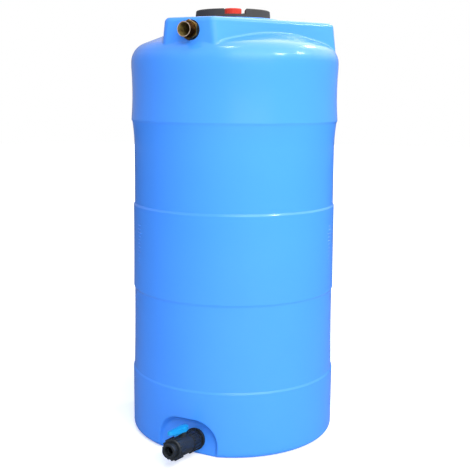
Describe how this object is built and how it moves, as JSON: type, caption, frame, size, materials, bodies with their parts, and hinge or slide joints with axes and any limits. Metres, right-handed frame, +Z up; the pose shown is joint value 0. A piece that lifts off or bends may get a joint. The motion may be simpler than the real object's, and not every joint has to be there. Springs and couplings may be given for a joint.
{
  "type": "water storage tank",
  "caption": "Upright round blue plastic water tank with banded sides, a screw lid with a red vent plug, a brass inlet near the top and a ball valve in a niche at the foot.",
  "frame": {"origin": "centre of the tank's round foot, on the floor", "axes": "+Z up the tank's axis, -Y to the front where the inlet and the outlet valve are, +X to the right seen from the front"},
  "size_m": [0.599, 0.7226, 1.231],
  "materials": {
    "blue_polyethylene": "satin",
    "grey_plastic": "matte",
    "black_plastic": "satin",
    "red_plastic": "gloss",
    "blue_lever": "gloss",
    "brass": "satin",
    "rubber": "matte",
    "white_seat": "matte",
    "ball_chrome": "polished"
  },
  "bodies": {
    "tank": {"tank_shell": "blue_polyethylene", "inlet_fitting": "brass", "inlet_washer": "rubber", "inlet_inner_washer": "rubber", "inlet_backnut": "brass", "outlet_bulkhead": "black_plastic", "outlet_washer": "rubber", "outlet_inner_washer": "rubber", "outlet_backnut": "black_plastic", "rear_connector": "black_plastic", "rear_oring": "rubber", "rear_union_nut": "black_plastic", "valve_body": "black_plastic", "rear_seat": "white_seat", "front_seat": "white_seat", "seat_carrier": "black_plastic", "front_oring": "rubber", "front_union_nut": "black_plastic", "front_connector": "black_plastic"},
    "lid_ring": {"lid_gasket": "rubber"},
    "lid": {"lid_cap": "grey_plastic"},
    "vent_ring": {"vent_seal": "rubber"},
    "vent": {"vent_plug": "red_plastic"},
    "lever": {"valve_lever": "blue_lever", "valve_stem": "black_plastic", "stem_orings": "rubber", "valve_ball": "ball_chrome"}
  },
  "joints": [
    {"name": "lid_lift", "type": "slide", "parent": "tank", "child": "lid_ring", "axis": [0, 0, 1], "range_m": [0, 0.3]},
    {"name": "lid_turn", "type": "hinge", "parent": "lid_ring", "child": "lid", "pos_m": [-0.006, -0.003, 1.2], "axis": [0, 0, 1], "range_deg": [0, 540]},
    {"name": "vent_rise", "type": "slide", "parent": "lid", "child": "vent_ring", "axis": [0, 0, 1], "range_m": [0, 0.021]},
    {"name": "vent_turn", "type": "hinge", "parent": "vent_ring", "child": "vent", "pos_m": [-0.006, -0.003, 1.21], "axis": [0, 0, 1], "range_deg": [0, 3240]},
    {"name": "valve_turn", "type": "hinge", "parent": "tank", "child": "lever", "pos_m": [0.021, -0.34942, 0.05151], "axis": [0, 0.1219, 0.9925], "range_deg": [0, 90]}
  ],
  "couplings": [
    {"joint": "vent_rise", "follows": "vent_turn", "m_per_rad": 0.00036749}
  ]
}
